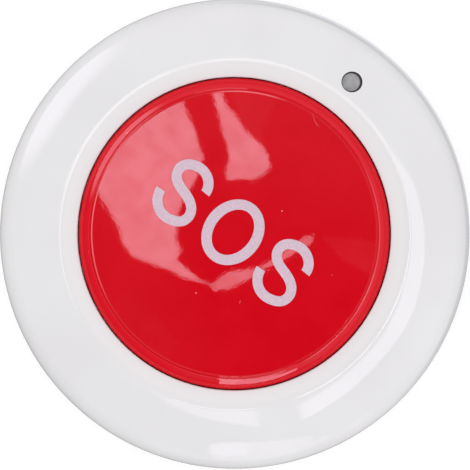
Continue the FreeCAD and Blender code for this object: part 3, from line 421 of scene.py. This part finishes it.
def grey_lens():
    """Frosted smoke-grey light guide, with painted shade of its bore along its right side."""
    material, tree, shader = start("grey_lens", Roughness=0.3, IOR=1.49)
    cloud = between(tree, noise(tree, 0.9 * MM, 4.0, 0.65), 0.3, 0.7)
    plain = blend_colours(tree, cloud, colour(0.31, 0.305, 0.315), colour(0.40, 0.395, 0.405))
    low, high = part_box("indicator_lens")
    middle = (low + high) / 2 - PHOTO_RIGHT * WINDOW_SHIFT
    # Painted shade of the bore along the lens's right side
    shade = between(tree, from_axis(tree, middle), *LENS_SHADE_RADII)
    feed(tree, shader, Base_Color=blend_colours(tree, shade, plain, colour(0.05, 0.03, 0.037)))
    feed(tree, shader, Normal=bump(tree, noise(tree, 0.15 * MM, 2.0), 5 * UM))
    return material


def led_resin():
    """Pale milky resin."""
    material, tree, shader = start("led_resin", Roughness=0.12, IOR=1.52)
    milk = between(tree, noise(tree, 0.5 * MM, 2.0), 0.3, 0.7)
    plain = blend_colours(tree, milk, colour(0.72, 0.70, 0.62), colour(0.80, 0.79, 0.74))
    feed(tree, shader, Base_Color=plain)
    return material


def board_laminate():
    """Green solder mask over raised copper tracks."""
    material, tree, shader = start("board_laminate", Roughness=0.32, IOR=1.52)
    track = add(tree, "ShaderNodeTexBrick", {
        "Vector": place(tree),
        "Scale": 1.0,
        "Mortar Size": 0.16 * MM,
        "Brick Width": 5.1 * MM,
        "Row Height": 1.9 * MM,
    }).outputs["Fac"]
    weave = noise(tree, 0.4 * MM, 2.0)
    mask = blend_colours(tree, weave, colour(0.004, 0.075, 0.026), colour(0.006, 0.11, 0.040))
    feed(tree, shader, Base_Color=blend_colours(tree, track, mask, colour(0.012, 0.19, 0.06)))
    feed(tree, shader, Normal=bump(tree, track, 30 * UM))
    return material


def bright_steel(name, tint, roughness, wave):
    """Plated or rolled steel with a fine grain."""
    material, tree, shader = start(name, Metallic=1.0, IOR=1.45)
    grain = noise(tree, wave, 4.0, 0.7)
    worn = between(tree, noise(tree, 2.3 * MM, 3.0), 0.35, 0.7)
    dull = colour(*(channel * 0.82 for channel in tint[:3]))
    feed(tree, shader, Base_Color=blend_colours(tree, worn, tint, dull))
    feed(tree, shader, Roughness=between(tree, grain, 0.2, 0.8, roughness * 0.75, roughness * 1.3))
    feed(tree, shader, Normal=bump(tree, grain, 1.5 * UM))
    return material


def black_plastic():
    """Matt moulded black plastic."""
    material, tree, shader = start("black_plastic", Roughness=0.45, IOR=1.5)
    tone = noise(tree, 1.2 * MM, 3.0)
    plain = blend_colours(tree, tone, colour(0.012, 0.012, 0.013), colour(0.028, 0.028, 0.030))
    feed(tree, shader, Base_Color=plain)
    feed(tree, shader, Normal=bump(tree, noise(tree, 0.09 * MM, 2.0), 5 * UM))
    return material


def seal_rubber():
    """Black rubber with a trace of bloom."""
    material, tree, shader = start("seal_rubber", Roughness=0.62, IOR=1.5)
    bloom = between(tree, noise(tree, 1.6 * MM, 4.0), 0.35, 0.75)
    plain = blend_colours(tree, bloom, colour(0.020, 0.020, 0.021), colour(0.045, 0.044, 0.043))
    feed(tree, shader, Base_Color=plain)
    feed(tree, shader, Normal=bump(tree, noise(tree, 0.14 * MM, 2.0), 7 * UM))
    return material


def ceramic():
    """Tan chip body."""
    material, tree, shader = start("ceramic", Roughness=0.4, IOR=1.6)
    tone = noise(tree, 0.4 * MM, 3.0)
    plain = blend_colours(tree, tone, colour(0.33, 0.22, 0.12), colour(0.42, 0.29, 0.17))
    feed(tree, shader, Base_Color=plain)
    feed(tree, shader, Normal=bump(tree, noise(tree, 0.1 * MM, 2.0), 4 * UM))
    return material


def enamelled_copper():
    """Copper wire under clear enamel."""
    sockets = {"Metallic": 1.0, "Coat_Weight": 0.6, "Coat_Roughness": 0.08}
    material, tree, shader = start("enamelled_copper", **sockets)
    tone = noise(tree, 1.4 * MM, 3.0)
    plain = blend_colours(tree, tone, colour(0.62, 0.24, 0.10), colour(0.76, 0.34, 0.15))
    feed(tree, shader, Base_Color=plain)
    feed(tree, shader, Roughness=between(tree, tone, 0.2, 0.8, 0.18, 0.34))
    return material


def dress_nodes(view):
    """Every piece of the frame gets its finish."""
    nickel_plate = bright_steel("nickel_plate", colour(0.66, 0.65, 0.62), 0.3, 0.2 * MM)
    rolled_steel = bright_steel("rolled_steel", colour(0.72, 0.72, 0.70), 0.24, 0.35 * MM)
    finishes = {
        gloss_white(): ["front_cover"],
        satin_white(): ["rear_cover", "battery_door"],
        gloss_red(view): ["button_cap"],
        print_ink(): ["legend_print"],
        grey_lens(): ["indicator_lens"],
        led_resin(): ["indicator_led"],
        board_laminate(): ["circuit_board"],
        rolled_steel: ["coin_cell", "resonator_can"],
        nickel_plate: [
            "housing_screws", "return_spring", "negative_contact", "positive_contact",
            "switch_cover", "switch_legs", "snap_disc", "encoder_pins",
        ],
        black_plastic(): [
            "switch_base", "switch_plunger", "encoder_chip", "rf_transistor", "resistors",
        ],
        seal_rubber(): ["housing_seal", "door_seal"],
        ceramic(): ["capacitors"],
        enamelled_copper(): ["antenna_coil"],
    }
    for finish, names in finishes.items():
        for name in names:
            for holder in nodes[name].material_slots:
                holder.material = finish


# Camera


def make_camera():
    """Nearly straight above, turned so that the legend runs down to the right."""
    lens = bpy.data.cameras.new("photo_camera")
    lens.sensor_width = SENSOR
    lens.lens = SENSOR * CAMERA_DISTANCE / (FRAME * PIXEL)
    camera = bpy.data.objects.new("photo_camera", lens)
    bpy.context.scene.collection.objects.link(camera)
    bpy.context.scene.camera = camera
    back = CAMERA_SIDE * math.sin(CAMERA_LEAN) + Vector((0, 0, math.cos(CAMERA_LEAN)))
    right = PHOTO_UP.cross(back).normalized()
    up = back.cross(right)
    across = (FRAME / 2 - CAP_MIDDLE[0]) * PIXEL
    down = (FRAME / 2 - CAP_MIDDLE[1]) * PIXEL
    stand = Matrix((right, up, back)).transposed().to_4x4()
    target = Vector((0, 0, RING_TOP))
    stand.translation = target + back * CAMERA_DISTANCE + right * across - up * down
    camera.matrix_world = stand
    return stand, lens.lens


# Where the photograph's points lie on the button, and what they mirror there

# How many times a point's height is worked out, each time closer
SIGHT_STEPS = 6

# The studio is a sphere round the button, and a shell outside it
PANEL_DISTANCE = 600 * MM
SHELL_RADIUS = 700 * MM


def meeting(view, pixel, arc):
    """The ray of this point of the photograph, where it meets an arc, and the normal there."""
    stand, lens = view
    axis_distance, level, radius = arc
    eye = stand.translation
    sight = Vector((pixel[0] - FRAME / 2, FRAME / 2 - pixel[1], -lens / SENSOR * FRAME))
    ray = (stand.to_3x3() @ sight).normalized()
    height = level + radius
    for _ in range(SIGHT_STEPS):
        hit = eye + ray * ((height - eye.z) / ray.z)
        out = Vector((hit.x, hit.y, 0))
        across = out.length - axis_distance
        rise = math.sqrt(radius ** 2 - across ** 2)
        height = level + rise
    normal = (out.normalized() * across + Vector((0, 0, rise))) / radius
    return ray, hit, normal


def seen_on(view, pixel, arc):
    """Where on the arc's surface this point of the photograph lies."""
    return meeting(view, pixel, arc)[1]


def mirrored_at(view, pixel, arc):
    """Where on the studio's sphere the arc's surface mirrors this point of the photograph."""
    ray, hit, normal = meeting(view, pixel, arc)
    out = ray - 2 * ray.dot(normal) * normal
    lead = hit.dot(out)
    travel = -lead + math.sqrt(lead ** 2 - hit.length_squared + PANEL_DISTANCE ** 2)
    return hit + out * travel


def round_cap(turn, radius):
    """The photograph's pixel at a clockwise angle from the right, and a radius in pixels."""
    turn = math.radians(turn)
    return CAP_MIDDLE[0] + radius * math.cos(turn), CAP_MIDDLE[1] + radius * math.sin(turn)


# Pieces of the studio, which only mirrors show: nothing is lit by them

PANEL_COLOUR = (1.0, 0.93, 1.08, 1.0)


def emitter(name, strength=1.0):
    """A plain light."""
    material, tree = blank(name)
    light = add(tree, "ShaderNodeEmission", {"Color": PANEL_COLOUR, "Strength": strength})
    add(tree, "ShaderNodeOutputMaterial", {"Surface": light.outputs["Emission"]})
    material.cycles.emission_sampling = "NONE"
    return material, tree, light


def studio_piece(name, form, material):
    """A piece of the studio that shows only in reflections."""
    mesh = bpy.data.meshes.new(name)
    form.to_mesh(mesh)
    form.free()
    mesh.materials.append(material)
    piece = bpy.data.objects.new(name, mesh)
    bpy.context.scene.collection.objects.link(piece)
    piece.visible_camera = False
    piece.visible_diffuse = False
    piece.visible_shadow = False
    piece.visible_transmission = False


def cloudy(name, strength):
    """A light whose strength drifts a little from place to place."""
    material, tree, light = emitter(name)
    drift = between(tree, noise(tree, 16 * MM, 5.0, 0.8), 0.3, 0.7, 0.8 * strength, 1.22 * strength)
    tree.links.new(drift, light.inputs["Strength"])
    return material


def panel(name, corners, strength):
    form = bmesh.new()
    form.faces.new([form.verts.new(corner) for corner in corners])
    studio_piece(name, form, cloudy(name, strength))


def strip(name, inner, outer, strength):
    """A panel between two lines of as many points."""
    form = bmesh.new()
    first = [form.verts.new(point) for point in inner]
    second = [form.verts.new(point) for point in outer]
    for index in range(len(first) - 1):
        form.faces.new((first[index], first[index + 1], second[index + 1], second[index]))
    studio_piece(name, form, emitter(name, strength)[0])


# Light shapes that the cap mirrors, by the points where the photograph shows their corners
LEFT_GLOW = [
    (183, 100), (189, 118), (195.5, 133), (200.5, 148), (203, 158), (196, 178), (184, 200),
    (178, 214), (177, 229), (176, 240), (181, 250), (177, 260), (190, 272), (202, 281),
    (215, 284), (204, 283), (184, 277.5), (165, 268.5), (146, 261.5), (130.5, 255.5),
    (126, 247.5), (140, 232), (152, 227), (143, 214), (133, 196), (124, 160), (143, 132),
    (160, 112),
]
LEFT_STRIP = [
    (160, 112), (143, 132), (124, 160), (133, 196), (143, 214), (152, 227), (140, 232),
    (126, 247.5), (122, 243), (120, 230), (115, 217), (110, 205), (105, 192), (101, 177),
    (108, 169), (122, 144), (143, 122),
]
TOP_GLOW = [
    (211, 92), (213, 100), (217, 110), (222, 130), (228, 150), (229, 160), (225, 173),
    (227, 181), (238, 178), (253, 180), (266, 173), (271, 165), (268, 156), (264, 147),
    (254, 139), (245, 130), (238, 119), (229, 112), (222.5, 103), (219, 93),
]
STREAK = [
    (210, 287), (214, 291), (230, 289), (251, 278), (268, 268), (285, 259), (301, 251),
    (310, 245), (314, 236), (308, 235), (297, 242), (280, 255), (259, 268), (243, 270),
    (230, 271), (219, 278),
]
TOP_ZONE = [
    (228, 97), (262, 96), (276, 99), (272, 112), (262, 126), (262, 142), (246, 126), (236, 110),
]
RIGHT_ZONE = [
    (320, 236), (333, 250), (345, 262), (358, 270), (368, 278), (376, 262), (380, 245), (350, 238),
]
LOW_ZONE = [(127, 290), (142, 302), (180, 342), (170, 352), (145, 342), (120, 315)]
FACE_LIGHTS = [
    ("left_glow", LEFT_GLOW, 4.75),
    ("left_strip", LEFT_STRIP, 4.45),
    ("top_glow", TOP_GLOW, 4.75),
    ("streak_glow", STREAK, 3.7),
    ("top_zone", TOP_ZONE, 0.30),
    ("right_zone", RIGHT_ZONE, 0.20),
    ("low_zone", LOW_ZONE, 0.14),
]

# Bright shapes that the ring mirrors: turn clockwise from the photograph's right, inner and
# outer radius in pixels
RIGHT_BAND = [
    (-36, 180, 180.4), (-26, 180, 182), (-18, 180, 185), (-10, 180, 188), (-2, 180, 190),
    (6, 180, 192), (14, 180.5, 193), (22, 182.5, 195.5), (31, 182.5, 195), (40, 182.5, 194),
    (50, 182.5, 194.5), (60, 183, 196), (69.5, 184, 198.5),
]
BOTTOM_BAND = [
    (119, 180, 180.4), (112, 180, 183), (105, 180, 184.5), (95, 180, 188), (88, 180, 191.5),
    (82.5, 180, 195),
]
BOTTOM_WEDGE = [(96.5, 213, 219), (94, 210, 223), (90, 209, 224), (86, 210, 224)]
BOTTOM_TAIL = [(86, 210, 224), (80, 211, 224), (75, 213, 223), (69, 216, 219)]
RING_LIGHTS = [
    ("right_band", RIGHT_BAND, 2.6),
    ("bottom_band", BOTTOM_BAND, 2.0),
    ("bottom_wedge", BOTTOM_WEDGE, 2.6),
    ("bottom_tail", BOTTOM_TAIL, 1.5),
]

# Low lights that the cap's ledge mirrors: turn clockwise from the photograph's right, and the
# leans from straight up between which they stand
LOW_GLINT = [(97, 47, 75), (90, 47, 76)]
LOW_GLINT_TAIL = [(89.8, 47, 76), (75, 48, 75), (66, 52, 66)]
LOW_LIGHTS = [
    ("low_glint", LOW_GLINT, 2.4),
    ("low_glint_tail", LOW_GLINT_TAIL, 2.0),
]


def make_panels(view):
    """The lights that the photograph shows in the cap's face, in the ring and in the ledge."""
    for name, outline, strength in FACE_LIGHTS:
        panel(name, [mirrored_at(view, pixel, FACE_ARC) for pixel in outline], strength)
    for name, line, strength in RING_LIGHTS:
        inner = [mirrored_at(view, round_cap(turn, radius), RING_ARC) for turn, radius, _ in line]
        outer = [mirrored_at(view, round_cap(turn, radius), RING_ARC) for turn, _, radius in line]
        strip(name, inner, outer, strength)
    for name, line, strength in LOW_LIGHTS:
        inner = [toward(turn, lean) * PANEL_DISTANCE for turn, lean, _ in line]
        outer = [toward(turn, lean) * PANEL_DISTANCE for turn, _, lean in line]
        strip(name, inner, outer, strength)


# The rest of what is mirrored. Overhead it is dark, where the camera stands, but for a trace at
# the photograph's top and left. All round it is grey, darker at the lower left, low down and
# close to overhead. Each tone is given by two places along its direction, or two levels, and its
# strength at each of them. Overhead ends between two distances from the axis.
OVERHEAD_EDGE = (140 * MM, 175 * MM)
TOP_SIDE = toward(-76, 90)
TOP_LIGHT = (-40 * MM, 140 * MM, 0.02, 0.2)
LEFT_SIDE = toward(166, 90)
LEFT_LIGHT = (35 * MM, 125 * MM, 0.0, 0.09)
ROUND_SIDE = PHOTO_RIGHT * 0.8 + PHOTO_UP * 0.6
ROUND_LIGHT = (-300 * MM, 200 * MM, 0.14, 0.6)
LOW_SHADE = (50 * MM, 480 * MM, 0.35, 1.0)
HIGH_SHADE = (670 * MM, 500 * MM, 0.45, 1.0)

# A soft glow at the upper left, and one low down at the upper right, which the ring's side
# mirrors: direction, degrees to where it is full and to where it ends, and strength
GLOW = (toward(217, 55), 11, 21, 3.0)
LOW_GLOW = (toward(-45, 142), 16, 31, 0.7)


def glow_share(tree, side, inner, outer, strength):
    """A glow on the shell, full within inner degrees of a direction and gone beyond outer degrees."""
    ends = [math.cos(math.radians(angle)) for angle in (outer, inner)]
    return between(tree, along(tree, side / SHELL_RADIUS), *ends, 0.0, strength)


def make_shell():
    material, tree, light = emitter("studio_shell")
    overhead = between(tree, along(tree, TOP_SIDE), *TOP_LIGHT)
    overhead = math_node(tree, "ADD", overhead, between(tree, along(tree, LEFT_SIDE), *LEFT_LIGHT))
    level = along(tree, Vector((0, 0, 1)))
    around = between(tree, along(tree, ROUND_SIDE), *ROUND_LIGHT)
    for shade in (LOW_SHADE, HIGH_SHADE):
        around = times(tree, around, between(tree, level, *shade))
    for glow in (GLOW, LOW_GLOW):
        around = math_node(tree, "ADD", around, glow_share(tree, *glow))
    share = between(tree, from_axis(tree), *OVERHEAD_EDGE)
    tree.links.new(blend_values(tree, share, overhead, around), light.inputs["Strength"])
    form = bmesh.new()
    bmesh.ops.create_uvsphere(form, u_segments=96, v_segments=48, radius=SHELL_RADIUS)
    studio_piece("studio_shell", form, material)


# The soft light on everything: even, more from overhead and from two sides, and less from below
SKY_FILL = 0.60
SKY_KEY = 0.42
SKY_SIDES = 0.68
SKY_BELOW = 0.8
SIDES_TURN = 55
BELOW_LEVELS = (-0.4, 0.1)
KEY_DIRECTION = (Vector((0, 0, 1)) - (PHOTO_UP - PHOTO_RIGHT) * 0.03).normalized()


def make_world():
    """The sky that lights the button, and that is plain white where it is seen."""
    world = bpy.data.worlds.new("studio")
    world.use_nodes = True
    tree = world.node_tree
    tree.nodes.clear()
    sky = add(tree, "ShaderNodeTexCoord").outputs["Generated"]
    above = vector_node(tree, "DOT_PRODUCT", sky, KEY_DIRECTION, "Value")
    beside = vector_node(tree, "DOT_PRODUCT", sky, toward(SIDES_TURN, 90), "Value")
    beside = math_node(tree, "POWER", math_node(tree, "ABSOLUTE", beside), 2.0)
    lit = math_node(tree, "MULTIPLY_ADD", math_node(tree, "MAXIMUM", above), SKY_KEY, SKY_FILL)
    lit = math_node(tree, "ADD", lit, times(tree, beside, SKY_SIDES))
    level = add(tree, "ShaderNodeSeparateXYZ", {"Vector": sky}).outputs["Z"]
    lit = times(tree, lit, between(tree, level, *BELOW_LEVELS, SKY_BELOW, 1.0))
    kind = add(tree, "ShaderNodeLightPath").outputs
    seen = math_node(tree, "MAXIMUM", kind["Is Camera Ray"], kind["Is Glossy Ray"])
    seen = math_node(tree, "MAXIMUM", seen, kind["Is Transmission Ray"])
    strength = blend_values(tree, seen, lit, 1.0)
    light = add(tree, "ShaderNodeBackground", {"Color": colour(1, 1, 1), "Strength": strength})
    add(tree, "ShaderNodeOutputWorld", {"Surface": light.outputs["Background"]})
    bpy.context.scene.world = world


# The floor lies just under the back face, so that the two don't share a plane
FLOOR_REACH = 3.0
FLOOR_LEVEL = -0.2 * MM


def pale_floor():
    """Pale from above, and clear from below, so that the underside shows."""
    material, tree = blank("pale_floor")
    pale = add(tree, "ShaderNodeBsdfDiffuse", {"Color": colour(0.8, 0.8, 0.8)}).outputs["BSDF"]
    lift = add(tree, "ShaderNodeEmission", {"Strength": 0.3}).outputs["Emission"]
    top = add(tree, "ShaderNodeAddShader", {0: pale, 1: lift}).outputs["Shader"]
    clear = add(tree, "ShaderNodeBsdfTransparent").outputs["BSDF"]
    below = add(tree, "ShaderNodeNewGeometry").outputs["Backfacing"]
    both = add(tree, "ShaderNodeMixShader", {0: below, 1: top, 2: clear}).outputs["Shader"]
    add(tree, "ShaderNodeOutputMaterial", {"Surface": both})
    return material


def make_floor():
    """A floor that takes the button's shadow, and adds nothing to its light or reflections."""
    corners = [(-1, -1), (1, -1), (1, 1), (-1, 1)]
    form = bmesh.new()
    form.faces.new([
        form.verts.new((x * FLOOR_REACH, y * FLOOR_REACH, FLOOR_LEVEL)) for x, y in corners
    ])
    mesh = bpy.data.meshes.new("floor")
    form.to_mesh(mesh)
    form.free()
    mesh.materials.append(pale_floor())
    floor = bpy.data.objects.new("floor", mesh)
    bpy.context.scene.collection.objects.link(floor)
    floor.visible_diffuse = False
    floor.visible_glossy = False
    floor.visible_shadow = False


# Sprung pieces


def press_soft(node):
    """A sprung piece between the moving cap and what stands still, copied with its own mesh onto the
    housing.
    """
    mesh = nodes[node].data.copy()
    piece = bpy.data.objects.new(f"{node}_sprung", mesh)
    bpy.context.scene.collection.objects.link(piece)
    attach(piece, "housing")
    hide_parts(node)
    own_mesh(piece)


photo_view = make_camera()
dress_nodes(photo_view)
press_soft("return_spring")
press_soft("snap_disc")
make_panels(photo_view)
make_shell()
make_world()
make_floor()
bpy.context.scene.view_settings.view_transform = "Standard"
